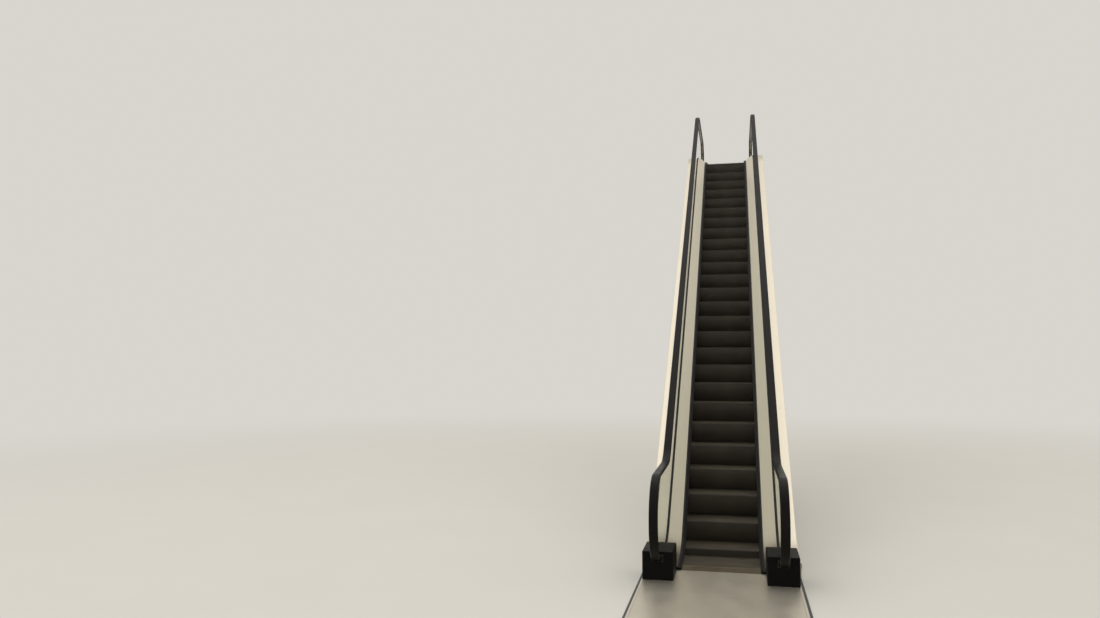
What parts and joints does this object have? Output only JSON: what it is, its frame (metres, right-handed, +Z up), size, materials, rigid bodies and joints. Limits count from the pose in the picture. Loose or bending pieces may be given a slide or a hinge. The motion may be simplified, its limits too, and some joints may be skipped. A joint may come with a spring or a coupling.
{
  "type": "escalator",
  "caption": "Straight escalator between two levels with cleated steps, combs, steel decks, glass balustrades and black handrails.",
  "frame": {"origin": "on the ground, under the tips of the lower comb, on the centre line of the flight", "axes": "+X to the right of a rider going up, +Y up the flight, +Z up"},
  "size_m": [1.446, 14.2589, 6.966],
  "materials": {
    "frame_steel": "dark painted structural steel",
    "cladding": "satin pale grey coated sheet panels",
    "floor_plate": "etched stainless steel floor plates",
    "comb": "cast aluminium with a brown grey tone",
    "step": "die cast aluminium, painted charcoal",
    "skirt": "black low friction coating on steel",
    "brush": "black nylon bristles in a grey aluminium holder",
    "deck": "hairline stainless steel",
    "glass_channel": "black gasket over an aluminium clamp",
    "glass": "clear tempered glass",
    "handrail": "smooth black rubber",
    "guide": "satin stainless steel guide rail",
    "box": "black moulded plastic",
    "collar": "black rubber"
  },
  "bodies": {
    "root": {"base_frame": "frame_steel", "truss_side_left": "frame_steel", "truss_side_right": "frame_steel", "track_bed": "frame_steel", "cladding_left": "cladding", "cladding_right": "cladding", "soffit": "cladding", "lower_floor_plates": "floor_plate", "upper_floor_plates": "floor_plate", "lower_comb_plate": "comb", "upper_comb_plate": "comb", "steps_lower": "step", "steps_middle": "step", "steps_upper": "step", "skirt_left": "skirt", "skirt_right": "skirt", "skirt_brush_left": "brush", "skirt_brush_right": "brush", "inner_deck_left": "deck", "inner_deck_right": "deck", "outer_deck_left": "deck", "outer_deck_right": "deck", "glass_channel_left": "glass_channel", "glass_channel_right": "glass_channel", "glass_panels_left": "glass", "glass_panels_right": "glass", "lower_newel_glass_left": "glass", "lower_newel_glass_right": "glass", "upper_newel_glass_left": "glass", "upper_newel_glass_right": "glass", "handrail_left": "handrail", "handrail_right": "handrail", "handrail_guide_left": "guide", "handrail_guide_right": "guide", "lower_box_left": "box", "lower_box_right": "box", "upper_box_left": "box", "upper_box_right": "box", "inlet_collars": "collar", "upper_end_plate": "frame_steel", "upper_bearing": "frame_steel"}
  },
  "joints": []
}
